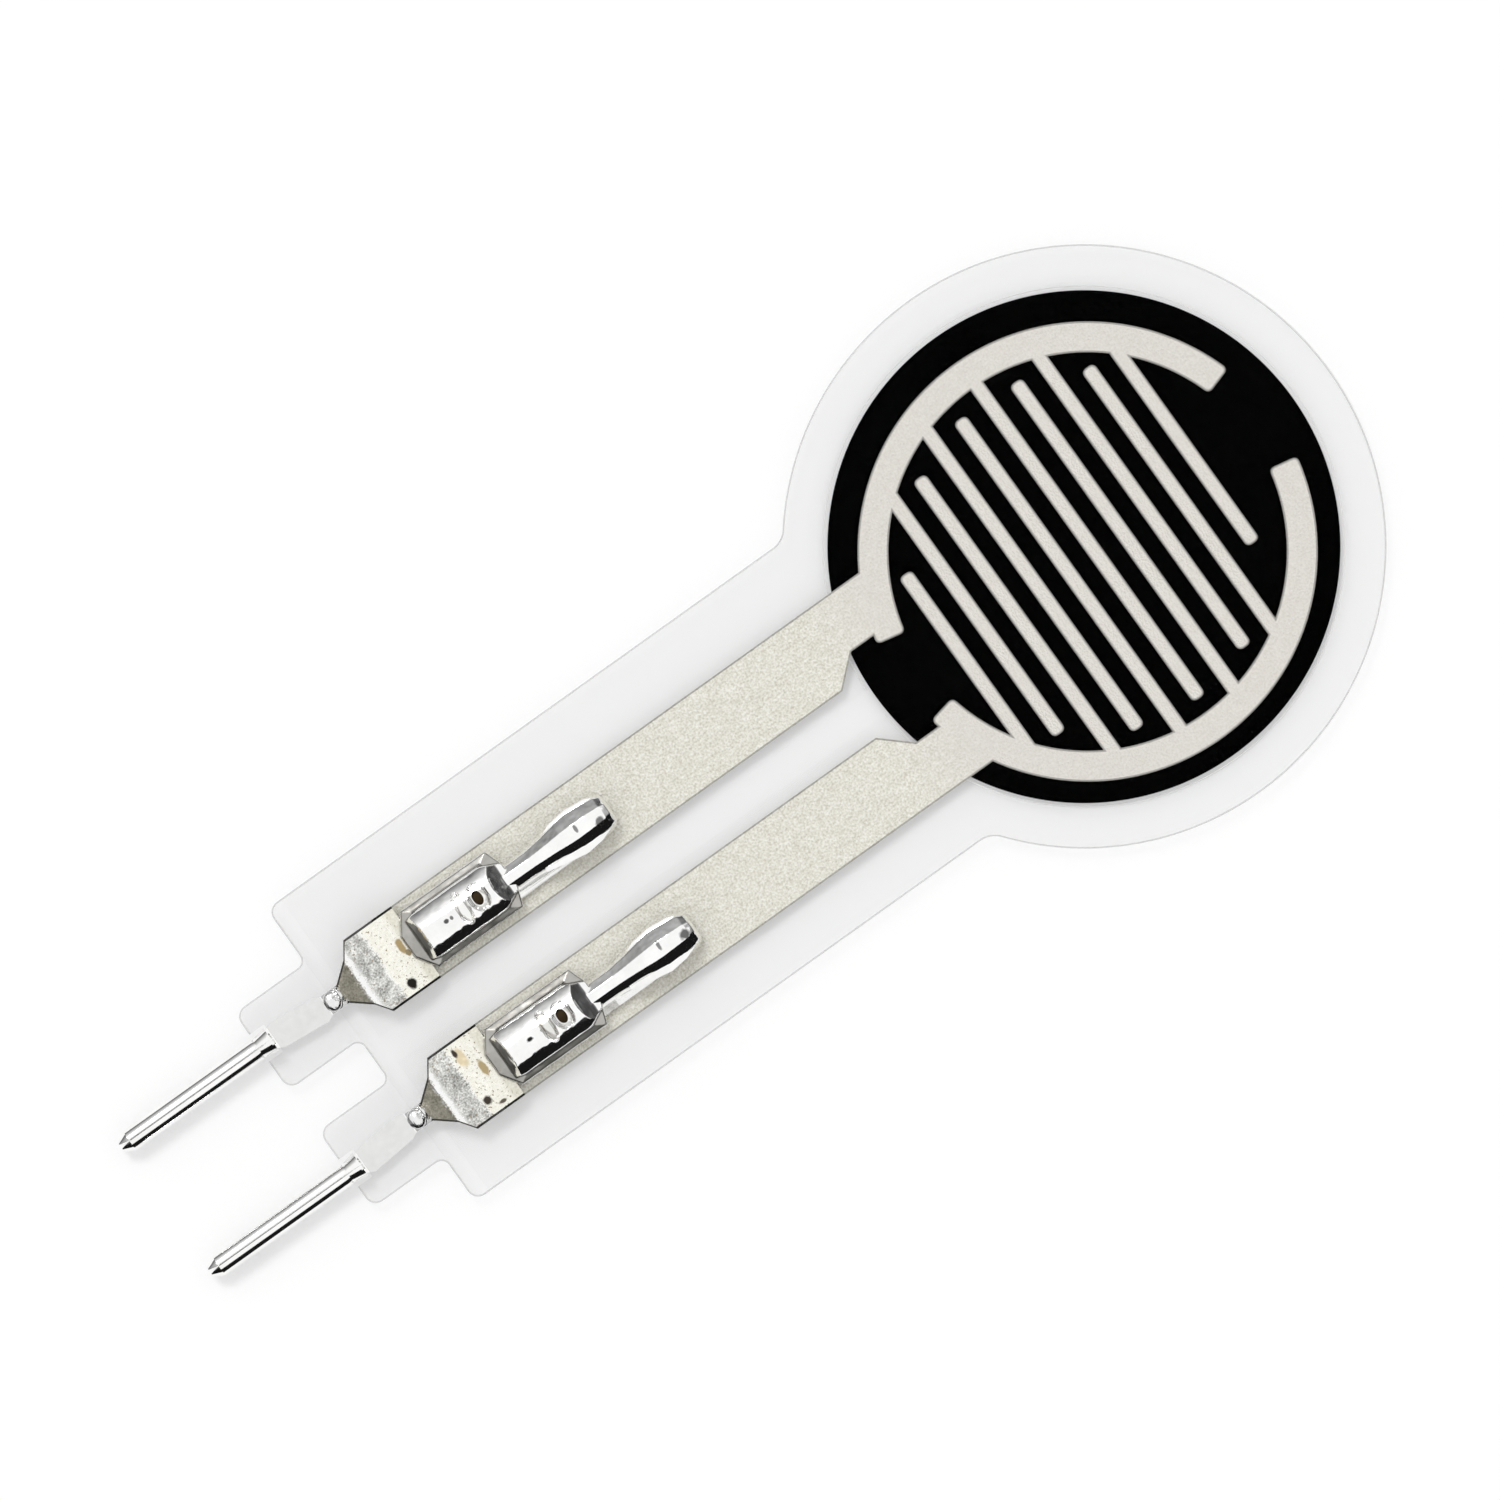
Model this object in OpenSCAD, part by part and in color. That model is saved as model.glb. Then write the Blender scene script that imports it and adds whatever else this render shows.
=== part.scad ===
// Force sensing resistor: a round printed sensor on a flat tail, with two rolled pin terminals.
// Millimetres. Z is up. The origin is the middle of the round end, on the rear face.
// The tail and the pins run towards -X. Left is +Y: left and right are seen from the pins.

/* [Film] */
// Diameter of the round sensing end
disc_d = 10; // [8:0.1:14]
// Width of the tail
tail_w = 5.94; // [4.9:0.02:9]
// From the middle of the disc to the shoulder at the end of the tail
tail_reach = 14.5; // [12:0.1:40]
// Radius of the hollow corner where the tail meets the disc
waist_r = 0.4; // [0.2:0.05:1]
// Radius of the outer corners of the tail and the tabs
corner_r = 0.2; // [0.1:0.01:0.25]
// Radius of the inner corners between the tabs and the shoulder
hollow_r = 0.15; // [0.05:0.01:0.2]
// Thickness of the front film and of the rear film
film_t = 0.125; // [0.075:0.005:0.2]

/* [Tabs] */
// Width of each tab
tab_w = 1.56; // [1.25:0.01:1.9]
// Length of each tab past the shoulder
tab_l = 1.44; // [1:0.02:3]

/* [Print] */
// Sideways shift of the print, the tabs and the pins from the film's middle line
print_y = -0.1; // [-0.2:0.01:0.2]
// Thickness of the printed inks
ink_t = 0.015; // [0.01:0.001:0.025]
// Bare film left around the black resistive disc
ink_margin = 0.75; // [0.5:0.05:1]
// Bare film left around the silver ring
ring_margin = 1.19; // [0.9:0.01:1.5]
// Width of the silver ring
ring_w = 0.51; // [0.35:0.01:0.7]
// Angle from the far end of the middle line to the end of the left comb's ring
left_end_angle = 17; // [10:1:25]
// Angle from the far end of the middle line to the end of the right comb's ring
right_end_angle = 11; // [8:1:25]
// Angle from the tail's middle line to the near end of each comb's ring
near_angle = 11.7; // [9:0.1:14]
// Number of fingers of the two combs together
finger_n = 10; // [6:1:14]
// Width of a finger
finger_w = 0.25; // [0.18:0.01:0.32]
// Distance from one finger to the next
finger_pitch = 0.556; // [0.45:0.002:0.7]
// Shift of the row of fingers from the middle of the ring
finger_shift = -0.18; // [-0.25:0.01:0.25]
// Gap from a finger's free end to the opposite comb's ring
finger_gap = 0.25; // [0.18:0.01:0.4]
// How much shorter the last finger is
last_trim = 0.5; // [0:0.05:0.7]
// Corner radius at the free end of a finger
finger_r = 0.07; // [0.02:0.005:0.085]

/* [Traces] */
// Width of each silver trace on the tail
trace_w = 1.44; // [1.15:0.01:1.8]
// Distance between the middle lines of the two traces
trace_pitch = 2.39; // [1.95:0.01:2.9]
// Depth of the step in each trace's inner edge beside the disc
step_depth = 0.45; // [0.3:0.01:0.6]
// Length along the tail of the slope that leads to that step
step_slope = 0.5; // [0.3:0.01:1]

/* [Spacer] */
// Thickness of the spacer adhesive that holds the films apart
spacer_t = 0.1; // [0.05:0.005:0.15]
// Gap from the black disc to the spacer's round opening
spacer_gap = 0.06; // [0.02:0.01:0.2]
// Width of the vent that leads from the opening to the end of the tail
vent_w = 0.5; // [0.3:0.02:0.65]
// How far the spacer stays back from the slots at the shoulder
spacer_back = 0.08; // [0.03:0.01:0.3]

/* [Pins] */
// Distance between the two pins
pin_pitch = 2.54; // [2.2:0.01:2.9]
// Diameter of a pin
pin_d = 0.4; // [0.32:0.01:0.5]
// Length of a pin from its tip to the end of its tab
pin_l = 2.82; // [2:0.02:8]
// Length of the pointed tip
tip_l = 0.18; // [0.1:0.01:0.3]
// Diameter at the very tip
tip_d = 0.2; // [0.14:0.01:0.28]
// Thickness of the terminals' metal
metal_t = 0.12; // [0.095:0.005:0.145]
// Width of the seam along the rolled pin
seam_w = 0.02; // [0.01:0.005:0.04]
// Width of the open split between the two lobes of the tip
split_w = 0.06; // [0.04:0.005:0.08]
// Length of the bell mouth, which starts at the end of the tab
mouth_l = 0.26; // [0.2:0.01:0.4]
// Diameter of the bell mouth at its wide end
mouth_d = 0.47; // [0.44:0.01:0.56]

/* [Neck and ramp] */
// Width of the flat neck under the tab
neck_w = 0.48; // [0.4:0.01:0.6]
// Width of the strip where it climbs through the film
climb_w = 0.36; // [0.3:0.01:0.43]
// From the shoulder back to the start of the climb
climb_back = 0.12; // [0.08:0.01:0.3]
// From the shoulder on to the flat plate
plate_from = 0.55; // [0.45:0.01:0.8]
// Length of the wedge that widens towards the plate
wedge_l = 0.34; // [0.2:0.01:0.4]
// Width of the wedge at the plate
wedge_w = 0.9; // [0.7:0.01:1.1]
// Length of the chamfer at the plate's corners
plate_chamfer = 0.19; // [0.1:0.01:0.3]
// Length of the flat plate up to the barrel
plate_l = 1.15; // [0.8:0.01:1.4]
// Clearance around the metal in the film's slots and notches
slot_gap = 0.04; // [0.02:0.005:0.06]

/* [Barrel] */
// Length of the barrel's tub
tub_l = 2.02; // [1.68:0.02:3]
// Width of the tub
tub_w = 1.1; // [0.95:0.01:1.3]
// How far the tub's end reaches back over the plate
tub_over = 0.15; // [0.05:0.01:0.3]
// Length of the tub's corner chamfers
tub_chamfer = 0.23; // [0.15:0.01:0.35]
// Width of the tub's blunt end
tub_nose_w = 0.38; // [0.3:0.01:0.6]
// Height of the tub's upright wall above the film
rim_h = 0.17; // [0.14:0.01:0.25]
// Radius of the rolled dome
dome_r = 0.42; // [0.37:0.01:0.46]
// Length of the slope from the tub's blunt end up to the dome
dome_from = 0.34; // [0.28:0.01:0.45]
// Length of the dome
dome_l = 1.42; // [1.15:0.01:1.8]
// Height of the dome's axis above the film
dome_up = 0.15; // [0.12:0.01:0.2]
// Wall of the rolled dome
dome_t = 0.1; // [0.06:0.005:0.13]
// Length of the closed neck and flare past the tub
flare_l = 2.02; // [1.65:0.02:3]
// Radius of the closed neck
throat_r = 0.25; // [0.2:0.01:0.32]
// Radius of the flare where it is widest
flare_r = 0.4; // [0.33:0.01:0.5]
// Height of the neck's and the flare's axis above the film
flare_up = 0.1; // [0.05:0.01:0.15]
// From the tub's blunt end to the hole in the dome
hole_at = 1.42; // [1.2:0.01:1.55]
// Width of the hole along the barrel
hole_w = 0.17; // [0.13:0.01:0.22]
// Length of the hole across the barrel
hole_l = 0.27; // [0.23:0.01:0.33]
// From the tub's blunt end to the pressed dent in the dome
dent_at = 1.12; // [0.95:0.01:1.2]
// Depth of the dent
dent_depth = 0.04; // [0.02:0.005:0.06]
// Radius of the round tool mark that the dent is
dent_r = 0.16; // [0.12:0.01:0.2]

/* [Solder] */
// Radius of the solder bead at the shoulder
bead_r = 0.17; // [0.14:0.005:0.2]
// Length of the window under the barrel that the solder fills
window_l = 1; // [0.8:0.02:1.2]
// Width of that window
window_w = 0.4; // [0.3:0.01:0.5]
// Depth of the pit that the flux left under the hole
pit_depth = 0.12; // [0.08:0.01:0.2]

/* [Hidden] */
$fn = 96;

// Free space between solder and metal, and the overrun of cuts
seat = 0.004;
over = 0.5;

// Levels, from the table up
ink_z = film_t;
inner_z = film_t + spacer_t;
top_z = inner_z + film_t;
neck_z = inner_z - metal_t;
pin_z = neck_z + pin_d / 2;

// Places along the part
tab_x = -tail_reach - tab_l;
tip_x = tab_x - pin_l;
mouth_x = tab_x + mouth_l;
climb_x = -tail_reach - climb_back;
plate_x = -tail_reach + plate_from;
tub_x = plate_x + plate_l - tub_over;
throat_x = tub_x + tub_l;
dome_x = tub_x + dome_from;
hole_x = tub_x + hole_at;
dent_x = tub_x + dent_at;
window_x = dome_x + (dome_l - window_l) / 2;

// Round print
ink_r = disc_d / 2 - ink_margin;
ring_r = disc_d / 2 - ring_margin;
ring_in = ring_r - ring_w;
ring_mid = ring_r - ring_w / 2;
reach_r = ring_in - finger_gap;

// A corner b between the points a and c, rounded to radius r
function unit(v) = v / norm(v);
function arc_corner(a, b, c, r, n = 5) =
    let (u = unit(a - b), v = unit(c - b), half = acos(u * v) / 2)
    let (mid = b + unit(u + v) * r / sin(half), from = b + u * r / tan(half) - mid)
    let (turn = 180 - 2 * half, side = u[0] * v[1] - u[1] * v[0] > 0 ? -1 : 1)
    [for (k = [0:n]) let (t = side * turn * k / n)
        mid + [from[0] * cos(t) - from[1] * sin(t), from[0] * sin(t) + from[1] * cos(t)]];

// A closed outline of [x, y, r] points, with each corner rounded to its own r, or sharp at r = 0
function rounded(p) = [for (i = [0:len(p) - 1])
    let (a = p[(i + len(p) - 1) % len(p)], b = p[i], c = p[(i + 1) % len(p)])
    each b[2] == 0 ? [[b[0], b[1]]] : arc_corner([a[0], a[1]], [b[0], b[1]], [c[0], c[1]], b[2])];

// A smooth step from a to b, n points long
function ease(a, b, n) = [for (k = [0:n - 1])
    [a[0] + (b[0] - a[0]) * k / n, a[1] + (b[1] - a[1]) * (1 - cos(180 * k / n)) / 2]];

// One half of the tail's outline, on the +Y side for side = 1: the waist's hollow arc into the disc
function waist(side, n = 6) =
    let (edge = tail_w / 2 + waist_r, far = disc_d / 2 + waist_r, mid_x = -sqrt(far * far - edge * edge))
    let (sweep = atan2(-edge, -mid_x) + 90)
    [for (k = [0:n]) let (t = -90 + sweep * k / n)
        [mid_x + waist_r * cos(t), side * (edge + waist_r * sin(t))]];

function lane(side) = print_y + side * trace_pitch / 2;
function pin_lane(side) = print_y + side * pin_pitch / 2;

// The shoulder and the two tabs, from the right edge of the tail to its left edge
function tab_ends() = [for (side = [-1, 1], e = side > 0 ? [-1, 1] : [-1, 1])
    let (y = lane(side) + e * tab_w / 2)
    each e < 0
        ? [[-tail_reach, y, hollow_r], [tab_x, y, corner_r]]
        : [[tab_x, y, corner_r], [-tail_reach, y, hollow_r]]];

// Each child outline raised to a slab of thickness t, and the slabs joined
module raise(t)
    for (i = [0:$children - 1]) linear_extrude(t) children(i);

// A sheet with the film's outline, with or without the two tabs
module film_sheet(t, tabs) {
    ends = tabs ? tab_ends() : [];
    raise(t) {
        circle(d = disc_d);
        polygon(rounded(concat(
            [[0, -tail_w / 2, 0], [-tail_reach, -tail_w / 2, corner_r]],
            ends,
            [[-tail_reach, tail_w / 2, corner_r], [0, tail_w / 2, 0]])));
        waist_plan(-1);
        waist_plan(1);
    }
}

module waist_plan(side)
    polygon(concat(waist(side), [[0, 0], [waist(side)[0][0], 0]]));

// The strip's outline where it climbs and widens to the plate, grown by g
module climb_plan(side, g = 0) {
    y = lane(side);
    polygon([
        [climb_x - g, y - climb_w / 2 - g],
        [plate_x - wedge_l, y - climb_w / 2 - g],
        [plate_x + g, y - wedge_w / 2 - g],
        [plate_x + g, y + wedge_w / 2 + g],
        [plate_x - wedge_l, y + climb_w / 2 + g],
        [climb_x - g, y + climb_w / 2 + g]]);
}

module front_film() color([0.93, 0.94, 0.94, 0.5])
    translate([0, 0, inner_z])
        difference() {
            film_sheet(film_t, true);
            translate([0, 0, -over])
                for (side = [-1, 1]) raise(film_t + 2 * over) {
                    climb_plan(side, slot_gap);
                    mouth_notch(side);
                    window_plan(side);
                }
        }

// The notch in the tab's end that clears the bell mouth
module mouth_notch(side) {
    w = mouth_d + 2 * slot_gap;
    translate([tab_x - over, pin_lane(side) - w / 2]) square([over + mouth_l + slot_gap, w]);
}

// The opening that lets solder reach the trace under the barrel
module window_plan(side)
    translate([window_x, lane(side) - window_w / 2]) square([window_l, window_w]);

module rear_film() color([0.9, 0.91, 0.91, 0.5])
    film_sheet(film_t, false);

module resistive_disc() color([0.04, 0.04, 0.04])
    translate([0, 0, ink_z]) cylinder(r = ink_r, h = ink_t);

module spacer_adhesive() color([0.95, 0.95, 0.93, 0.4])
    translate([0, 0, ink_z])
        difference() {
            film_sheet(spacer_t, false);
            translate([0, 0, -over]) raise(spacer_t + 2 * over) {
                circle(r = ink_r + spacer_gap);
                translate([-tail_reach - over, print_y - vent_w / 2])
                    square([tail_reach + over, vent_w]);
                translate([-tail_reach - over, -tail_w])
                    square([plate_from - wedge_l + spacer_back + over, 2 * tail_w]);
            }
            translate([0, 0, spacer_t - ink_t]) raise(ink_t + over) {
                trace_plan(-1);
                trace_plan(1);
            }
        }

// A trace: its inner edge steps away from the middle line beside the disc
module trace_plan(side) {
    y = lane(side);
    inner = y - side * trace_w / 2;
    outer = y + side * trace_w / 2;
    step = inner + side * step_depth;
    step_x = -ink_r + 0.4 * ring_w / 2;
    difference() {
        polygon([
            [plate_x, y - side * wedge_w / 2],
            [plate_x + plate_chamfer, inner],
            [step_x - step_slope, inner],
            [step_x, step],
            [-ring_in * cos(near_angle), step],
            [-ring_in * cos(near_angle) / 2, outer],
            [plate_x + plate_chamfer, outer],
            [plate_x, y + side * wedge_w / 2]]);
        translate([0, print_y]) circle(r = ring_mid);
    }
}

// The half of the ring that belongs to one comb
module ring_arc(side) {
    end_angle = side > 0 ? left_end_angle : right_end_angle;
    rotate([0, 0, side > 0 ? end_angle : 180 + near_angle])
        rotate_extrude(angle = 180 - near_angle - end_angle)
            translate([ring_in, 0]) square([ring_w, ink_t]);
}

// A finger hangs from the ring's middle and ends, with rounded corners, short of the other comb's ring
module finger_plan(side, x, trim) {
    root = side * sqrt(ring_mid * ring_mid - x * x);
    tip = side * (trim - sqrt(reach_r * reach_r - x * x));
    polygon(rounded([
        [x - finger_w / 2, root, 0],
        [x - finger_w / 2, tip, finger_r],
        [x + finger_w / 2, tip, finger_r],
        [x + finger_w / 2, root, 0]]));
}

// Fingers belong to the right comb and the left comb by turns
module comb(side) color([0.86, 0.85, 0.82])
    translate([0, 0, inner_z - ink_t]) {
        linear_extrude(ink_t) trace_plan(side);
        translate([0, print_y, 0]) {
            ring_arc(side);
            for (i = [0:finger_n - 1]) {
                x = finger_shift + (i - (finger_n - 1) / 2) * finger_pitch;
                owner = i % 2 == 0 ? -1 : 1;
                if (owner == side && abs(x) + finger_w < reach_r)
                    linear_extrude(ink_t) finger_plan(side, x, i == finger_n - 1 ? last_trim : 0);
            }
        }
    }

module left_comb() comb(1);
module right_comb() comb(-1);

// A tube rolled from the strip, with its seam on top, a pointed split tip and a bell mouth
module rolled_pin() {
    shank_x = tip_x + tip_l;
    bore_d = pin_d - 2 * metal_t;
    mouth_bore = mouth_d - 2 * metal_t;
    difference() {
        union() {
            translate([shank_x, 0, 0]) rotate([0, 90, 0]) cylinder(d = pin_d, h = tab_x - shank_x);
            translate([tip_x, 0, 0]) rotate([0, 90, 0]) cylinder(d1 = tip_d, d2 = pin_d, h = tip_l);
            translate([tab_x, 0, 0]) rotate([0, 90, 0])
                cylinder(d1 = pin_d - 0.02, d2 = mouth_d, h = mouth_l);
        }
        translate([tip_x - over, 0, 0]) rotate([0, 90, 0])
            cylinder(d = bore_d, h = mouth_x - tip_x + 2 * over);
        translate([tab_x, 0, 0]) rotate([0, 90, 0])
            cylinder(d1 = bore_d - 0.02, d2 = mouth_bore, h = mouth_l + 0.001);
        translate([tip_x - over, -seam_w / 2, 0]) cube([mouth_x - tip_x + 2 * over, seam_w, pin_d]);
        translate([0, 0, -pin_d]) linear_extrude(2 * pin_d)
            polygon([[tip_x - 0.01, -split_w / 2], [shank_x, 0], [tip_x - 0.01, split_w / 2]]);
    }
}

// The flat neck under the tab, which sets over from the pin's lane to the trace's lane
module neck(side) {
    a = pin_lane(side);
    b = lane(side);
    from_x = mouth_x - mouth_l / 2;
    flat_x = mouth_x + (neck_w - climb_w);
    end_x = climb_x - (neck_w - climb_w);
    translate([0, 0, neck_z]) linear_extrude(metal_t)
        polygon([
            [from_x, a - climb_w / 3],
            [flat_x, a - neck_w / 2],
            [end_x, b - neck_w / 2],
            [climb_x, b - climb_w / 2],
            [climb_x + seat, b - climb_w / 2],
            [climb_x + seat, b + climb_w / 2],
            [climb_x, b + climb_w / 2],
            [end_x, b + neck_w / 2],
            [flat_x, a + neck_w / 2],
            [from_x, a + climb_w / 3]]);
}

// The strip as it climbs through the slot in the film, widening into the wedge
module ramp(side) {
    intersection() {
        linear_extrude(top_z + metal_t + over) climb_plan(side);
        translate([0, lane(side) + wedge_w, 0]) rotate([90, 0, 0]) linear_extrude(2 * wedge_w)
            polygon([
                [climb_x, neck_z],
                [plate_x, top_z],
                [plate_x, top_z + metal_t],
                [climb_x, neck_z + metal_t]]);
    }
}

// The flat plate on the film, over the end of the trace
module plate(side) {
    y = lane(side);
    translate([0, 0, top_z]) linear_extrude(metal_t)
        difference() {
            union() {
                polygon([
                    [plate_x, y - wedge_w / 2],
                    [plate_x + plate_chamfer, y - trace_w / 2],
                    [plate_x + plate_l, y - trace_w / 2],
                    [plate_x + plate_l, y + trace_w / 2],
                    [plate_x + plate_chamfer, y + trace_w / 2],
                    [plate_x, y + wedge_w / 2]]);
                translate([plate_x + plate_l / 2, y - tub_w / 2])
                    square([throat_x - tub_chamfer - plate_x - plate_l / 2, tub_w]);
            }
            window_plan(side);
        }
}

// The barrel is a chamfered tub under a rolled dome, closed down to a throat that flares out again.
// It is made about its own axis, with z = 0 on the film.
module barrel() {
    slope_h = dome_up + 0.75 * dome_r;
    difference() {
        union() {
            tub(slope_h);
            intersection() {
                translate([dome_x - tub_x, 0, dome_up]) rotate([0, 90, 0]) cylinder(r = dome_r, h = dome_l);
                translate([0, -tub_w, 0]) cube([tub_l, 2 * tub_w, dome_up + 2 * dome_r]);
            }
            flare();
        }
        dome_room(dome_t);
        obround(hole_at, hole_w, hole_l);
        translate([dent_at, tub_w, dome_up + dome_r + dent_r - dent_depth]) rotate([90, 0, 0])
            cylinder(r = dent_r, h = 2 * tub_w);
    }
}

// The tub: an octagonal plan whose ends and sides slope up to the dome
module tub(slope_h) {
    side_top = dome_r - 0.02;
    intersection() {
        linear_extrude(slope_h)
            polygon([
                [0, -tub_nose_w / 2],
                [tub_chamfer, -tub_w / 2],
                [tub_l - tub_chamfer / 2, -tub_w / 2],
                [tub_l, -throat_r],
                [tub_l, throat_r],
                [tub_l - tub_chamfer / 2, tub_w / 2],
                [tub_chamfer, tub_w / 2],
                [0, tub_nose_w / 2]]);
        translate([0, tub_w, 0]) rotate([90, 0, 0]) linear_extrude(2 * tub_w)
            polygon([
                [0, 0],
                [0, rim_h],
                [dome_from, slope_h],
                [dome_from + dome_l, slope_h],
                [tub_l, flare_up + throat_r - 0.03],
                [tub_l, 0]]);
        rotate([90, 0, 90]) linear_extrude(tub_l)
            polygon([
                [-tub_w / 2, 0],
                [-tub_w / 2, rim_h],
                [-side_top, rim_h + (tub_w / 2 - side_top) * 0.6],
                [-side_top * 0.6, slope_h],
                [side_top * 0.6, slope_h],
                [side_top, rim_h + (tub_w / 2 - side_top) * 0.6],
                [tub_w / 2, rim_h],
                [tub_w / 2, 0]]);
    }
}

// The room inside the rolled dome, t inside its outer face and down to the film
module dome_room(t) {
    r = dome_r - t;
    translate([dome_from + t, 0, 0]) {
        translate([0, 0, dome_up]) rotate([0, 90, 0]) cylinder(r = r, h = dome_l - 2 * t);
        w = min(2 * r, window_w);
        translate([(dome_l - window_l) / 2 - t, -w / 2, -over]) cube([window_l, w, dome_up + over]);
    }
}

// An upright hole with round ends across the barrel
module obround(x, w, l)
    translate([x, 0, dome_up])
        linear_extrude(dome_r + over) {
            for (e = [-1, 1]) translate([0, e * (l - w) / 2]) circle(d = w);
            square([w, l - w], center = true);
        }

// The closed throat and the flare, turned about the barrel's axis and cut flat on the film
module flare() {
    start = [tub_l - tub_chamfer, throat_r];
    waist_end = [tub_l + 0.25 * flare_l, throat_r];
    wide = [tub_l + 0.66 * flare_l, flare_r];
    lip = [tub_l + 0.93 * flare_l, 0.85 * flare_r];
    profile = concat([start], ease(waist_end, wide, 6), ease(wide, lip, 4),
        [for (k = [0:3]) let (t = 90 * k / 4)
            [lip[0] + 0.07 * flare_l * sin(t), lip[1] * (0.45 + 0.55 * cos(t))]],
        [[tub_l + flare_l, 0.4 * lip[1]]]);
    intersection() {
        translate([0, 0, flare_up]) rotate([0, 90, 0]) rotate_extrude()
            polygon(concat([[0, start[0]]], [for (p = profile) [p[1], p[0]]], [[0, tub_l + flare_l]]));
        translate([0, -tub_w, 0]) cube([tub_l + flare_l + over, 2 * tub_w, 2 * tub_w]);
    }
}

module terminal(side) color([0.78, 0.78, 0.79]) {
    translate([0, pin_lane(side), pin_z]) rolled_pin();
    neck(side);
    ramp(side);
    plate(side);
    translate([tub_x, lane(side), top_z]) barrel();
}

module left_terminal() terminal(1);
module right_terminal() terminal(-1);

// Solder: a bead where the strip climbs, and the fill under the dome, which reaches the trace
module solder(side) color([0.7, 0.7, 0.72]) {
    bead_x = climb_x + bead_r;
    difference() {
        translate([bead_x, lane(side), inner_z + metal_t / 2]) sphere(r = bead_r);
        translate([0, 0, -seat]) ramp(side);
        translate([0, 0, seat]) ramp(side);
        translate([climb_x - 2 * bead_r, lane(side) - bead_r, 0]) cube([4 * bead_r, 2 * bead_r, inner_z]);
    }
    translate([0, lane(side), 0]) difference() {
        union() {
            translate([window_x + seat, -window_w / 2 + seat, inner_z])
                cube([window_l - 2 * seat, window_w - 2 * seat, film_t + metal_t + 2 * seat]);
            translate([tub_x, 0, top_z]) intersection() {
                translate([dome_from + dome_t + seat, 0, dome_up]) rotate([0, 90, 0])
                    cylinder(r = dome_r - dome_t - seat, h = dome_l - 2 * dome_t - 2 * seat);
                translate([0, -tub_w, metal_t + seat]) cube([tub_l, 2 * tub_w, tub_w]);
            }
        }
        translate([hole_x, 0, top_z + dome_up + dome_r - dome_t - pit_depth])
            cylinder(d = hole_w, h = pit_depth + over);
        translate([dent_x, tub_w, top_z + dome_up + dome_r + dent_r - dent_depth]) rotate([90, 0, 0])
            cylinder(r = dent_r + seat, h = 2 * tub_w);
    }
}

module left_solder() solder(1);
module right_solder() solder(-1);

front_film();
rear_film();
spacer_adhesive();
resistive_disc();
left_comb();
right_comb();
left_terminal();
right_terminal();
left_solder();
right_solder();
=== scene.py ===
# The looks of a force sensing resistor: a round printed sensor on a clear film tail, with two rolled pin terminals.
# Pieces are modelled in millimetres about the CAD origin, the middle of the round end on the rear face,
# and each finished piece is then scaled to metres. The tail runs towards -X, and left is +Y.
import math

import bpy
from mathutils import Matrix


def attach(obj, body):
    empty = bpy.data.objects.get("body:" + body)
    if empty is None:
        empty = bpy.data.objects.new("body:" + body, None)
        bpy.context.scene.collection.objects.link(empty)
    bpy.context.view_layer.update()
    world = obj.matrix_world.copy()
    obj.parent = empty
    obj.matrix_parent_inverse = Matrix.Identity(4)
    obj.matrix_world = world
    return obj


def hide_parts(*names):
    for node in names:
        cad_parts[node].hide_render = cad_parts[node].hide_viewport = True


MM = 0.001

# Film outline
DISC_R = 5.0
TAIL_HALF = 2.97
TAIL_X = -14.5
TAB_X = -15.94
TAB_W = 1.56
CORNER_R = 0.2
HOLLOW_R = 0.15
WAIST_R = 0.4
WAIST_AT = (-4.2194, 3.37)
WAIST_END = (-3.9068, 3.1204)

# Levels, from the table up
REAR_Z = (0.0, 0.125)
SPACER_Z = (0.127, 0.223)
BLACK_Z = (0.127, 0.14)
SILVER_Z = (0.209, 0.223)
FRONT_Z = (0.225, 0.35)
NECK_Z = 0.162
PIN_Z = 0.305
FILM_TOP = 0.35
METAL_T = 0.12

# The print
PRINT_Y = -0.1
BLACK_R = 4.25
RING_R = 3.81
RING_IN = 3.3
RING_MID = 3.555
REACH_R = 3.05
END_ANGLE = {1: 17.0, -1: 11.0}
NEAR_ANGLE = 11.7
FINGERS = 10
FINGER_PITCH = 0.556
FINGER_W = 0.25
FINGER_SHIFT = -0.18
LAST_TRIM = 0.5
TRACE_W = 1.44
TRACE_PITCH = 2.39
STEP_X = -4.148
STEP_DEPTH = 0.45

# The terminals
PIN_PITCH = 2.54
TIP_X = -18.76
MOUTH_X = -15.68
CLIMB_X = -14.62
PLATE_X = -13.95
PLATE_END = -12.8
TUB_X = -12.95
DOME_X = -12.61
DOME_END = -11.19
THROAT_X = -10.93
FLARE_END = -8.91
HOLE_X = -11.53
DENT_X = -11.83
FLARE_SHIFT = 0.045
FLAT_FROM = -14.5
FLAT_AREA = 0.001


def lane(side):
    return PRINT_Y + side * TRACE_PITCH / 2


def pin_lane(side):
    return PRINT_Y + side * PIN_PITCH / 2


# Hand tools


def alone(piece):
    """Selects one piece and makes it the active one."""
    bpy.ops.object.select_all(action="DESELECT")
    piece.select_set(True)
    bpy.context.view_layer.objects.active = piece


def place_in_mesh():
    bpy.ops.object.transform_apply(location=True, rotation=True, scale=True)
    return bpy.context.object


def block(x, y, z):
    """A block between two corners, given as the low and high end on each axis."""
    bpy.ops.object.select_all(action="DESELECT")
    middle = [(low + high) / 2 for low, high in (x, y, z)]
    bpy.ops.mesh.primitive_cube_add(size=1, location=middle)
    bpy.context.object.scale = [high - low for low, high in (x, y, z)]
    return place_in_mesh()


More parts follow.
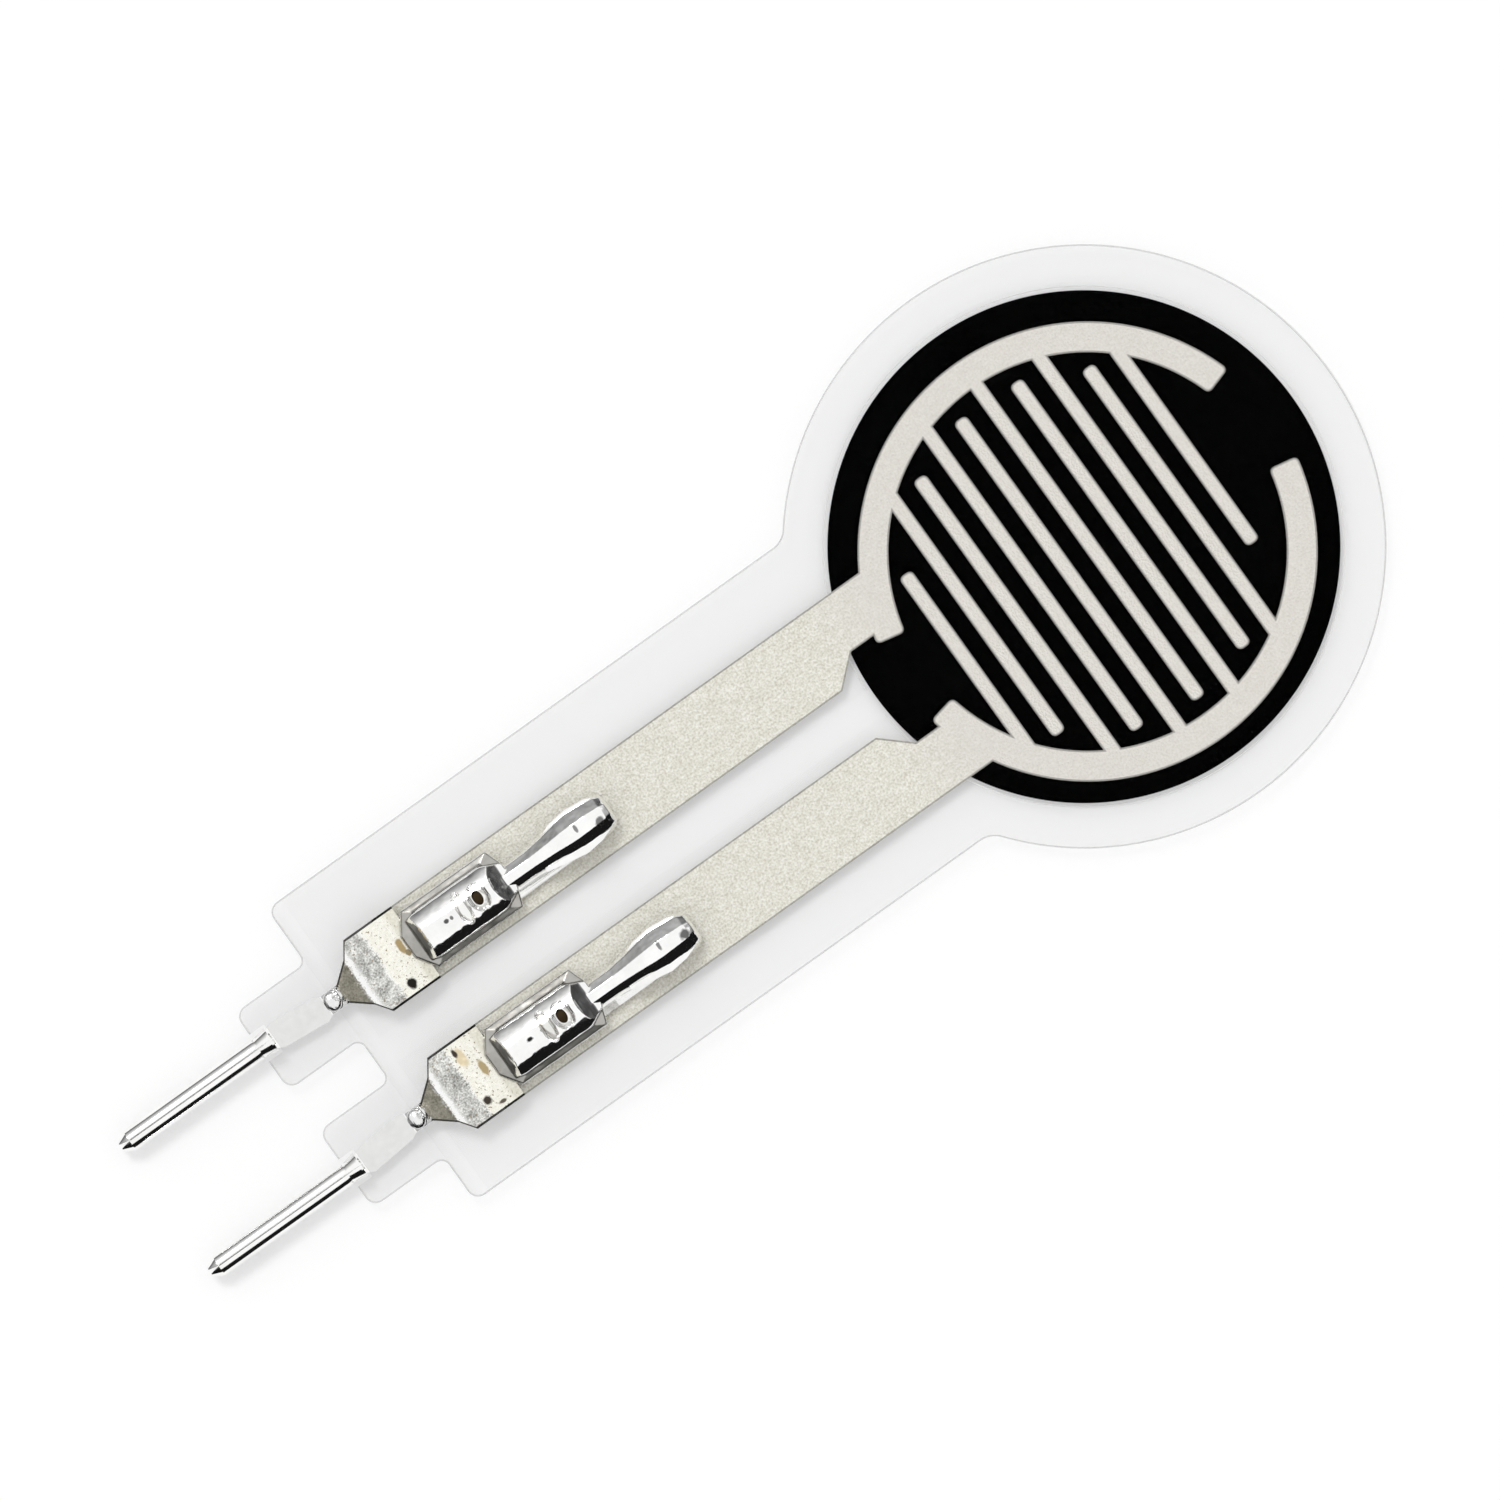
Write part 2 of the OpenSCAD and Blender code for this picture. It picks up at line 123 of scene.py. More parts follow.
def puck(radius, at, z, sides=96):
    """An upright round slab between two levels."""
    bpy.ops.object.select_all(action="DESELECT")
    place = (at[0], at[1], (z[0] + z[1]) / 2)
    bpy.ops.mesh.primitive_cylinder_add(vertices=sides, radius=radius, depth=z[1] - z[0], location=place)
    return place_in_mesh()


def lying_slug(x, y, z, width, height, sides):
    """A bar's first length along X, with round section."""
    bpy.ops.object.select_all(action="DESELECT")
    bpy.ops.mesh.primitive_cylinder_add(
        vertices=sides,
        radius=0.5,
        depth=x[1] - x[0],
        location=((x[0] + x[1]) / 2, y, z),
        rotation=(0, math.radians(90), 0),
    )
    bpy.context.object.scale = (height, width, 1)
    return place_in_mesh()


def pick_faces(piece, wanted):
    """Goes to edit mode with the faces selected whose middle and normal are wanted."""
    alone(piece)
    bpy.ops.object.mode_set(mode="EDIT")
    bpy.ops.mesh.select_mode(type="FACE")
    bpy.ops.mesh.select_all(action="DESELECT")
    bpy.ops.object.mode_set(mode="OBJECT")
    for face in piece.data.polygons:
        face.select = wanted(face.center, face.normal)
    bpy.ops.object.mode_set(mode="EDIT")


def pick_edges(piece, wanted):
    """Goes to edit mode with the edges selected that are wanted."""
    alone(piece)
    bpy.ops.object.mode_set(mode="EDIT")
    bpy.ops.mesh.select_mode(type="EDGE")
    bpy.ops.mesh.select_all(action="DESELECT")
    bpy.ops.object.mode_set(mode="OBJECT")
    points = piece.data.vertices
    for edge in piece.data.edges:
        edge.select = wanted(edge, points[edge.vertices[0]].co, points[edge.vertices[1]].co)
    bpy.ops.object.mode_set(mode="EDIT")


def shape_end(now, after):
    """Sets the selected end face over and resizes it, from one station's section to the next one's."""
    bpy.ops.transform.translate(value=(0, after[1] - now[1], after[2] - now[2]))
    size = (1, after[3] / now[3], after[4] / now[4])
    bpy.ops.transform.resize(value=size, center_override=after[:3])


def bar(stations, sides=0):
    """A bar along X that is grown from station to station: x, y, z, width and height.
    It is square in section, or round with this many sides."""
    x, y, z, width, height = stations[0]
    first = (x, stations[1][0])
    if sides:
        piece = lying_slug(first, y, z, width, height, sides)
    else:
        piece = block(first, (y - width / 2, y + width / 2), (z - height / 2, z + height / 2))
    pick_faces(piece, lambda middle, normal: normal.x > 0.9)
    shape_end(stations[0], stations[1])
    for now, after in zip(stations[1:], stations[2:]):
        bpy.ops.mesh.extrude_region_move(TRANSFORM_OT_translate={"value": (after[0] - now[0], 0, 0)})
        shape_end(now, after)
    bpy.ops.object.mode_set(mode="OBJECT")
    return piece


def combine(piece, other, how="UNION"):
    """Joins the piece with the other one, or cuts it, and takes the other one away."""
    alone(piece)
    joint = piece.modifiers.new("joint", "BOOLEAN")
    joint.operation = how
    joint.solver = "EXACT"
    joint.object = other
    bpy.ops.object.modifier_apply(modifier=joint.name)
    bpy.data.objects.remove(other)
    return piece


def cut(piece, other):
    return combine(piece, other, "DIFFERENCE")


def round_uprights(piece, radius, wanted, segments=6):
    """Rounds the upright edges whose foot is wanted."""

    def is_wanted(edge, a, b):
        upright = math.hypot(a.x - b.x, a.y - b.y) < 1e-4 and abs(a.z - b.z) > 1e-4
        return upright and wanted(a.x, a.y)

    pick_edges(piece, is_wanted)
    bpy.ops.mesh.bevel(offset=radius, segments=segments, affect="EDGES")
    bpy.ops.object.mode_set(mode="OBJECT")


def tidy_faces(piece):
    """Makes flat areas one face and takes out the very short edges that cutting leaves."""
    alone(piece)
    bpy.ops.object.mode_set(mode="EDIT")
    bpy.ops.mesh.select_all(action="SELECT")
    bpy.ops.mesh.dissolve_limited(angle_limit=math.radians(0.5))
    bpy.ops.mesh.select_all(action="SELECT")
    bpy.ops.mesh.remove_doubles(threshold=0.008)
    bpy.ops.object.mode_set(mode="OBJECT")


def soften_rim(piece, width, both=True, within=100.0):
    """Breaks the sharp rim between the flat faces and the walls, within a distance of the origin."""
    tidy_faces(piece)
    tilts = {}
    for face in piece.data.polygons:
        for key in face.edge_keys:
            tilts.setdefault(key, []).append(face.normal.z)

    def is_rim(edge, a, b):
        pair = sorted(tilts[edge.key])
        top = pair[-1] > 0.9 and abs(pair[0]) < 0.3
        low = pair[0] < -0.9 and abs(pair[-1]) < 0.3
        near = math.hypot(a.x, a.y) < within
        return len(pair) == 2 and near and (top or (both and low))

    pick_edges(piece, is_rim)
    bpy.ops.mesh.bevel(offset=width, segments=1, affect="EDGES", clamp_overlap=False)
    bpy.ops.object.mode_set(mode="OBJECT")


def draw_rim(piece, width):
    """Sets a narrow band off from the top face, along its whole outline."""
    tidy_faces(piece)
    pick_faces(piece, lambda middle, normal: normal.z > 0.9)
    bpy.ops.mesh.inset(thickness=width, depth=0)
    bpy.ops.object.mode_set(mode="OBJECT")
    for face in piece.data.polygons:
        face.material_index = 1 if face.normal.z > 0.9 and not face.select else 0


def keep_side(piece, point, normal):
    """Cuts the piece at a plane and keeps the side that the normal points to."""
    alone(piece)
    bpy.ops.object.mode_set(mode="EDIT")
    bpy.ops.mesh.select_all(action="SELECT")
    bpy.ops.mesh.bisect(plane_co=point, plane_no=normal, use_fill=True, clear_inner=True)
    bpy.ops.mesh.select_all(action="SELECT")
    bpy.ops.mesh.normals_make_consistent(inside=False)
    bpy.ops.object.mode_set(mode="OBJECT")


def finish_piece(piece, name, nodes, materials, sharp=20.0):
    """Brings a piece to metres, shades it, dresses it and lets it stand for its CAD node."""
    alone(piece)
    piece.name = name
    piece.scale = (MM, MM, MM)
    place_in_mesh()
    bpy.ops.object.shade_smooth_by_angle(angle=math.radians(sharp))
    for material in materials:
        piece.data.materials.append(material)
    if len(materials) > 1:
        dress_rim(piece)
    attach(piece, "root")
    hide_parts(*nodes)
    return piece


def keep_plate_flat(piece):
    """Shades the plate's wide flat faces flat, so that the tub's rounded wall doesn't bend their light."""
    for face in piece.data.polygons:
        on_plate = face.center.x > FLAT_FROM * MM
        if on_plate and face.area > FLAT_AREA * MM * MM and face.normal.z > 0.95:
            face.use_smooth = False


def dress_rim(piece):
    """Gives the broken rim the second material; the flat faces and upright walls keep the first."""
    for face in piece.data.polygons:
        if 0.3 < abs(face.normal.z) < 0.95:
            face.material_index = 1


# Films


def film_sheet(z, tabs):
    """A sheet with the film's outline: disc, tail, hollow waist, and tabs if wanted."""
    tail = block((TAIL_X, 0.0), (-TAIL_HALF, TAIL_HALF), z)
    round_uprights(tail, CORNER_R, lambda x, y: x < TAIL_X + 0.01)
    sheet = combine(puck(DISC_R, (0, 0), z, 256), tail)
    waist = block((WAIST_AT[0], WAIST_END[0]), (-WAIST_END[1], WAIST_END[1]), z)
    for side in (-1, 1):
        cut(waist, puck(WAIST_R, (WAIST_AT[0], side * WAIST_AT[1]), (z[0] - 1, z[1] + 1)))
    combine(sheet, waist)
    if tabs:
        for side in (-1, 1):
            edges = (lane(side) - TAB_W / 2, lane(side) + TAB_W / 2)
            tab = block((TAB_X, TAIL_X + 0.5), edges, z)
            round_uprights(tab, CORNER_R, lambda x, y: x < TAB_X + 0.01)
            combine(sheet, tab)
        inner = [lane(side) + e * TAB_W / 2 for side in (-1, 1) for e in (-1, 1)]
        round_uprights(
            sheet,
            HOLLOW_R,
            lambda x, y: abs(x - TAIL_X) < 0.01 and min(abs(y - corner) for corner in inner) < 0.01,
        )
    return sheet


def strip_slot(side):
    """The slot in the front film that the stamped strip climbs through."""
    y = lane(side)
    stations = [
        (CLIMB_X - 0.02, y, 0.3, 0.38, 1),
        (PLATE_X - 0.34, y, 0.3, 0.38, 1),
        (PLATE_X + 0.04, y, 0.3, 0.98, 1),
    ]
    return bar(stations)


def make_front_film():
    sheet = film_sheet(FRONT_Z, True)
    soften_rim(sheet, 0.025)
    for side in (-1, 1):
        cut(sheet, strip_slot(side))
        notch = block((TAB_X - 1, MOUTH_X + 0.04), (pin_lane(side) - 0.275, pin_lane(side) + 0.275), (0, 1))
        cut(sheet, notch)
        cut(sheet, block((-12.4, -11.4), (lane(side) - 0.2, lane(side) + 0.2), (0, 1)))
    return sheet


def make_rear_film():
    sheet = film_sheet(REAR_Z, False)
    soften_rim(sheet, 0.025)
    return sheet


def make_spacer():
    layer = film_sheet(SPACER_Z, False)
    cut(layer, puck(BLACK_R + 0.06, (0, 0), (0, 1), 192))
    soften_rim(layer, 0.012, both=False, within=BLACK_R + 0.2)
    cut(layer, block((TAIL_X - 1, 0), (PRINT_Y - 0.25, PRINT_Y + 0.25), (0, 1)))
    cut(layer, block((TAIL_X - 1, -14.21), (-4, 4), (0, 1)))
    for side in (-1, 1):
        cut(layer, trace_bar(side, (SILVER_Z[0], 1.0)))
    return layer


# Printed inks


def make_black_disc():
    disc = puck(BLACK_R, (0, 0), BLACK_Z, 256)
    soften_rim(disc, 0.006, both=False)
    return disc


def trace_bar(side, z):
    """A trace from the plate to the ring; its inner edge steps away from the middle line beside the disc."""
    y = lane(side)
    middle = (z[0] + z[1]) / 2
    height = z[1] - z[0]
    narrow = y + side * STEP_DEPTH / 2
    stations = [
        (PLATE_X, y, middle, 0.9, height),
        (PLATE_X + 0.19, y, middle, TRACE_W, height),
        (STEP_X - 0.5, y, middle, TRACE_W, height),
        (STEP_X, narrow, middle, TRACE_W - STEP_DEPTH, height),
        (-RING_IN * math.cos(math.radians(NEAR_ANGLE)), narrow, middle, TRACE_W - STEP_DEPTH, height),
    ]
    return bar(stations)


def ring_arc(side):
    """The half ring of one comb: a small upright face at its free end, spun round to its near end."""
    bpy.ops.object.select_all(action="DESELECT")
    start = math.radians(END_ANGLE[side]) * side
    sweep = math.radians(180 - NEAR_ANGLE - END_ANGLE[side]) * side
    level = (SILVER_Z[0] + SILVER_Z[1]) / 2
    place = (RING_MID * math.cos(start), PRINT_Y + RING_MID * math.sin(start), level)
    bpy.ops.mesh.primitive_plane_add(size=1, location=place, rotation=(math.radians(90), 0, start))
    ring = bpy.context.object
    ring.scale = (RING_R - RING_IN, SILVER_Z[1] - SILVER_Z[0], 1)
    place_in_mesh()
    bpy.ops.object.mode_set(mode="EDIT")
    bpy.ops.mesh.select_all(action="SELECT")
    bpy.ops.mesh.spin(steps=96, angle=-sweep, center=(0, PRINT_Y, level), axis=(0, 0, 1))
    bpy.ops.mesh.select_all(action="SELECT")
    bpy.ops.mesh.remove_doubles(threshold=0.0001)
    bpy.ops.mesh.normals_make_consistent(inside=False)
    bpy.ops.object.mode_set(mode="OBJECT")

    def at_an_end(x, y):
        turned = side * math.degrees(math.atan2(y - PRINT_Y, x))
        return abs(turned - END_ANGLE[side]) < 0.3 or abs(turned - 180 + NEAR_ANGLE) < 0.3

    round_uprights(ring, 0.09, at_an_end, 4)
    return ring


def finger(side, x, trim):
    root = side * math.sqrt(RING_MID**2 - x * x) + PRINT_Y
    tip = side * (trim - math.sqrt(REACH_R**2 - x * x)) + PRINT_Y
    piece = block((x - FINGER_W / 2, x + FINGER_W / 2), (min(root, tip), max(root, tip)), SILVER_Z)
    round_uprights(piece, 0.09, lambda px, py: abs(py - tip) < 0.01, 4)
    return piece


def make_comb(side):
    """One comb: half ring, trace and every second finger."""
    comb = combine(ring_arc(side), trace_bar(side, SILVER_Z))
    for i in range(FINGERS):
        if (1 if i % 2 else -1) == side:
            x = FINGER_SHIFT + (i - (FINGERS - 1) / 2) * FINGER_PITCH
            combine(comb, finger(side, x, LAST_TRIM if i == FINGERS - 1 else 0.0))
    # The rim band takes the half-bright silver: a painted shade line along the print's edges.
    draw_rim(comb, 0.028)
    return comb


# Terminals


def rolled_pin(side):
    """A pin rolled from the strip: split pointed tip, seam on top, bell mouth."""
    y = pin_lane(side)
    outline = [
        (TIP_X, 0.16),
        (TIP_X + 0.02, 0.21),
        (TIP_X + 0.15, 0.36),
        (TIP_X + 0.2, 0.4),
        (TAB_X - 0.06, 0.4),
        (TAB_X, 0.375),
        (TAB_X + 0.05, 0.4),
        (MOUTH_X - 0.03, 0.47),
        (MOUTH_X, 0.46),
    ]
    pin = bar([(x, y, PIN_Z, d, d) for x, d in outline], 64)
    bore = [(TIP_X - 0.1, 0.16), (TAB_X, 0.16), (MOUTH_X + 0.01, 0.24)]
    cut(pin, bar([(x, y, PIN_Z, d, d) for x, d in bore], 32))
    cut(pin, block((TIP_X - 0.1, MOUTH_X + 0.1), (y - 0.01, y + 0.01), (PIN_Z, 1)))
    split = [(TIP_X - 0.02, 0.1), (TIP_X + 0.06, 0.06), (TIP_X + 0.2, 0.01)]
    cut(pin, bar([(x, y, PIN_Z, w, 1) for x, w in split]))
    break_edges(pin, 0.006, 40)
    return pin


def break_edges(piece, width, angle):
    """Breaks the sharp edges of stamped metal."""
    alone(piece)
    bevel = piece.modifiers.new("break", "BEVEL")
    bevel.width = width
    bevel.segments = 1
    bevel.limit_method = "ANGLE"
    bevel.angle_limit = math.radians(angle)
    bpy.ops.object.modifier_apply(modifier=bevel.name)


def stamped_strip(side):
    """The neck under the tab, the ramp through the film and the plate on it, in one bent strip."""
    a = pin_lane(side)
    b = lane(side)
    plate_z = FILM_TOP + METAL_T / 2
    stations = [
        (MOUTH_X - 0.13, a, NECK_Z, 0.24, METAL_T),
        (MOUTH_X + 0.12, a, NECK_Z, 0.48, METAL_T),
        (CLIMB_X - 0.12, b, NECK_Z, 0.48, METAL_T),
        (CLIMB_X, b, NECK_Z, 0.36, METAL_T),
        (PLATE_X - 0.34, b, NECK_Z + 0.12, 0.36, METAL_T),
        (PLATE_X, b, plate_z, 0.9, METAL_T),
        (PLATE_X + 0.19, b, plate_z, TRACE_W, METAL_T),
        (PLATE_END - 0.4, b, plate_z, TRACE_W, METAL_T),
        (PLATE_END, b, FILM_TOP + 0.02, TRACE_W, 0.04),
    ]
    strip = bar(stations)

    def is_plate_edge(edge, p, q):
        upper = (p.z + q.z) / 2 > FILM_TOP + 0.025
        return upper and abs(p.x - q.x) > 0.1 and min(p.x, q.x) > PLATE_X - 0.35

    pick_edges(strip, is_plate_edge)
    bpy.ops.mesh.bevel(offset=0.035, segments=1, affect="EDGES", clamp_overlap=False)
    bpy.ops.mesh.select_all(action="SELECT")
    bpy.ops.mesh.mark_sharp()
    bpy.ops.object.mode_set(mode="OBJECT")
    return strip


def tub(side):
    """The chamfered tub with its sloping flange, and the upright walls that carry the dome."""
    y = lane(side)
    z = FILM_TOP + 0.06
    middle = (-11.93, y, 0)
    stations = [
        (TUB_X, y, z, 0.42, 0.12),
        (TUB_X + 0.23, y, z, 1.12, 0.12),
        (THROAT_X - 0.08, y, z, 1.12, 0.12),
        (THROAT_X + 0.02, y, z, 0.56, 0.12),
    ]
    piece = bar(stations)
    pick_faces(piece, lambda place, normal: normal.z > 0.9)
    for rise, along, across in TUB_STEPS:
        bpy.ops.mesh.extrude_region_move(TRANSFORM_OT_translate={"value": (0, 0, rise)})
        bpy.ops.transform.resize(value=(along, across, 1), center_override=middle)
    bpy.ops.object.mode_set(mode="OBJECT")
    return piece


# Rise, and shrink along and across, from the tub's wall over the flange to the top of the dome's walls
TUB_STEPS = ((0.02, 0.985, 0.965), (0.05, 0.815, 0.8), (0.15, 0.9, 0.97))


def dome(side):
    """The rolled dome: an arched roof on upright walls, cut straight at the near end and sloping to the throat."""
    y = lane(side) - 0.015
    outline = [
        (DOME_X - 0.13, 0.55, 0.76),
        (DOME_X + 0.03, 0.95, 0.84),
        (DOME_END - 0.08, 0.95, 0.84),
        (DOME_END - 0.02, 0.88, 0.82),
        (DOME_END + 0.19, 0.68, 0.62),
        (THROAT_X + 0.04, 0.64, 0.5),
    ]
    walls = bar([(x, y, (0.42 + top) / 2, width, top - 0.42) for x, top, width in outline])
    roof = bar([(-13.0, y, 0.315, 1.2, 1.2), (-10.7, y, 0.315, 1.2, 1.2)], 96)
    return combine(walls, roof, "INTERSECT")


def flare(side):
    """The closed throat and the flare past the tub, with a flat back and a blunt end."""
    y = lane(side) - FLARE_SHIFT
    z = FILM_TOP + 0.1
    outline = [
        (THROAT_X - 0.2, 0.5),
        (THROAT_X, 0.5),
        (THROAT_X + 0.45, 0.51),
        (THROAT_X + 0.8, 0.62),
        (THROAT_X + 1.1, 0.76),
        (THROAT_X + 1.33, 0.82),
        (THROAT_X + 1.6, 0.78),
        (THROAT_X + 1.88, 0.7),
        (THROAT_X + 1.98, 0.6),
        (FLARE_END + 0.01, 0.44),
    ]
    return bar([(x, y, z, d, d) for x, d in outline], 10)


def near_lip(side):
    """The pressed edge of the sheet that shows as a bright wedge along the flare's near side."""
    y = lane(side) - FLARE_SHIFT
    z = FILM_TOP + 0.1
    lip = [
        (-10.35, y - 0.25, z + 0.17, 0.05, 0.03),
        (-10.0, y - 0.3, z + 0.23, 0.1, 0.03),
        (-9.62, y - 0.345, z + 0.26, 0.14, 0.03),
        (-9.3, y - 0.32, z + 0.23, 0.12, 0.03),
        (-9.08, y - 0.27, z + 0.17, 0.06, 0.03),
    ]
    return bar(lip)


def torn_lip(side):
    """The thin torn edge of the sheet along the flare."""
    y = lane(side) - FLARE_SHIFT
    z = FILM_TOP + 0.1
    lip = [
        (-10.12, y + 0.22, z + 0.12, 0.08, 0.03),
        (-9.9, y + 0.3, z + 0.13, 0.1, 0.03),
        (-9.55, y + 0.345, z + 0.14, 0.1, 0.03),
        (-9.2, y + 0.31, z + 0.13, 0.1, 0.03),
        (-9.04, y + 0.26, z + 0.12, 0.08, 0.03),
    ]
    return bar(lip)


def press(piece, x, y, half, depth):
    """Presses an oval of the upper skin down, with a sloping rim."""
    for grow in (0.02, 0.0, -0.02):

        def in_oval(middle, normal):
            away = math.hypot((middle.x - x) / (half[0] + grow), (middle.y - y) / (half[1] + grow))
            return away < 1 and normal.z > 0.3 and middle.z > FILM_TOP

        pick_faces(piece, in_oval)
        bpy.ops.transform.translate(value=(0, 0, -depth / 3))
        bpy.ops.object.mode_set(mode="OBJECT")


def blend_forms(forms, voxel, rounds):
    """Melts overlapping forms into one skin, and rounds it as the tin does."""
    alone(forms[0])
    for form in forms:
        form.select_set(True)
    bpy.ops.object.join()
    skin = bpy.context.object
    remesh = skin.modifiers.new("skin", "REMESH")
    remesh.mode = "VOXEL"
    remesh.voxel_size = voxel
    bpy.ops.object.modifier_apply(modifier=remesh.name)
    soften = skin.modifiers.new("soften", "SMOOTH")
    soften.factor = 0.5
    soften.iterations = rounds
    bpy.ops.object.modifier_apply(modifier=soften.name)
    return skin


def ripple(piece, size, depth):
    """Leaves the surface slightly uneven, as dipped tin sets."""
    alone(piece)
    cloud = bpy.data.textures.new("ripple", "CLOUDS")
    cloud.noise_scale = size
    wave = piece.modifiers.new("ripple", "DISPLACE")
    wave.texture = cloud
    wave.texture_coords = "LOCAL"
    wave.mid_level = 0.5
    wave.strength = depth
    bpy.ops.object.modifier_apply(modifier=wave.name)


def barrel(side):
    """Tub, dome and flare in one tinned skin, with the lipped hole and the pressed dent."""
    y = lane(side)
    skin = blend_forms([tub(side), dome(side), flare(side)], 0.012, 4)
    ripple(skin, 0.3, 0.012)
    press(skin, DENT_X, y, (0.09, 0.28), 0.05)
    press(skin, HOLE_X + 0.02, y, (0.15, 0.22), 0.045)
    keep_side(skin, (0, 0, FILM_TOP), (0, 0, 1))
    return skin


def make_terminal(side):
    metal = combine(stamped_strip(side), rolled_pin(side))
    combine(metal, barrel(side))
    combine(metal, torn_lip(side))
    combine(metal, near_lip(side))
    hole = puck(0.085, (0, 0), (0.6, 1.2), 32)
    hole.scale = (1, 1.55, 1)
    hole.location = (HOLE_X, lane(side), 0)
    alone(hole)
    place_in_mesh()
    cut(metal, hole)
    return metal


def make_solder(side):
    """The bead where the strip climbs through the film, and the fill that shows in the barrel's hole."""
    y = lane(side)
    blob = []
    for step in range(1, 10):
        turn = math.radians(18 * step)
        x = CLIMB_X + 0.12 - 0.15 * math.cos(turn)
        blob.append((x, y, 0.34, 0.36 * math.sin(turn), 0.17 * math.sin(turn)))
    sliver = [
        (CLIMB_X + 0.24, y + 0.03, 0.34, 0.16, 0.16),
        (CLIMB_X + 0.28, y + 0.03, 0.36, 0.32, 0.2),
        (CLIMB_X + 0.33, y + 0.02, 0.37, 0.2, 0.14),
    ]
    bead = blend_forms([bar(blob, 24), bar(sliver, 24)], 0.01, 3)
    ripple(bead, 0.2, 0.01)
    press(bead, CLIMB_X + 0.21, y + 0.02, (0.025, 0.025), 0.05)
    fill = bar([(-12.0, y, 0.5, 0.6, 0.6), (-11.3, y, 0.5, 0.6, 0.6)], 32)
    alone(bead)
    fill.select_set(True)
    bpy.ops.object.join()
    return bead


# Materials


def put(tree, kind, inputs, **settings):
    """Adds a node and sets its inputs; an input is a value or another node's output."""
    made = tree.nodes.new("ShaderNode" + kind)
    for key, value in settings.items():
        setattr(made, key, value)
    for key, value in inputs.items():
        if isinstance(value, bpy.types.NodeSocket):
            tree.links.new(value, made.inputs[key])
        else:
            made.inputs[key].default_value = value
    return made


def start_material(name, **constants):
    """A material with a Principled shader whose plain values are set on its own sockets."""
    material = bpy.data.materials.new(name)
    material.use_nodes = True
    tree = material.node_tree
    tree.nodes.clear()
    shader = put(tree, "BsdfPrincipled", {key.replace("_", " "): value for key, value in constants.items()})
    put(tree, "OutputMaterial", {"Surface": shader.outputs["BSDF"]})
    place = put(tree, "TexCoord", {}).outputs["Object"]
    return material, tree, shader, place


def start_group(name, inputs, outputs):
    """A shared node group; inputs are names with kind and value, outputs are names with kind."""
    tree = bpy.data.node_groups.new(name, "ShaderNodeTree")
    for label, (kind, value) in inputs.items():
        socket = tree.interface.new_socket(label, in_out="INPUT", socket_type="NodeSocket" + kind)
        if value is not None:
            socket.default_value = value
    for label, kind in outputs.items():
        tree.interface.new_socket(label, in_out="OUTPUT", socket_type="NodeSocket" + kind)
    return tree, tree.nodes.new("NodeGroupInput"), tree.nodes.new("NodeGroupOutput")


def use_group(tree, group, inputs):
    made = tree.nodes.new("ShaderNodeGroup")
    made.node_tree = group
    for key, value in inputs.items():
        if isinstance(value, bpy.types.NodeSocket):
            tree.links.new(value, made.inputs[key])
        else:
            made.inputs[key].default_value = value
    return made


def grain_group():
    """Uneven grain: a value about 0 to 1 from fine and coarse noise."""
    tree, given, result = start_group(
        "grain",
        {"Place": ("Vector", None), "Fine": ("Float", 9000.0), "Coarse": ("Float", 900.0), "Share": ("Float", 0.3)},
        {"Value": "Float"},
    )
    fine = put(tree, "TexNoise", {"Vector": given.outputs["Place"], "Scale": given.outputs["Fine"], "Detail": 2.0})
    coarse = put(tree, "TexNoise", {"Vector": given.outputs["Place"], "Scale": given.outputs["Coarse"], "Detail": 1.0})
    mixed = put(tree, "Mix", {0: given.outputs["Share"], 2: fine.outputs["Fac"], 3: coarse.outputs["Fac"]})
    spread = put(tree, "MapRange", {"Value": mixed.outputs[0], "From Min": 0.3, "From Max": 0.7})
    tree.links.new(spread.outputs["Result"], result.inputs["Value"])
    return tree


def spot_group():
    """A ragged spot: 1 inside, 0 outside, by its middle and half size on the piece."""
    tree, given, result = start_group(
        "spot",
        {
            "Place": ("Vector", None),
            "Middle": ("Vector", (0.0, 0.0, 0.0)),
            "Half size": ("Vector", (1.0, 1.0, 1.0)),
            "Noise": ("Float", 0.5),
            "Ragged": ("Float", 0.5),
            "Soft": ("Float", 0.4),
        },
        {"Mask": "Float"},
    )
    away = put(tree, "VectorMath", {0: given.outputs["Place"], 1: given.outputs["Middle"]}, operation="SUBTRACT")
    share = put(tree, "VectorMath", {0: away.outputs[0], 1: given.outputs["Half size"]}, operation="DIVIDE")
    length = put(tree, "VectorMath", {0: share.outputs[0]}, operation="LENGTH")
    shift = put(tree, "Math", {0: given.outputs["Noise"], 1: 0.5}, operation="SUBTRACT")
    ragged = put(
        tree, "Math", {0: shift.outputs[0], 1: given.outputs["Ragged"], 2: length.outputs["Value"]}, operation="MULTIPLY_ADD"
    )
    inner = put(tree, "Math", {0: 1.0, 1: given.outputs["Soft"]}, operation="SUBTRACT")
    mask = put(
        tree,
        "MapRange",
        {"Value": ragged.outputs[0], "From Min": inner.outputs[0], "From Max": 1.0, "To Min": 1.0, "To Max": 0.0},
    )
    tree.links.new(mask.outputs["Result"], result.inputs["Mask"])
    return tree


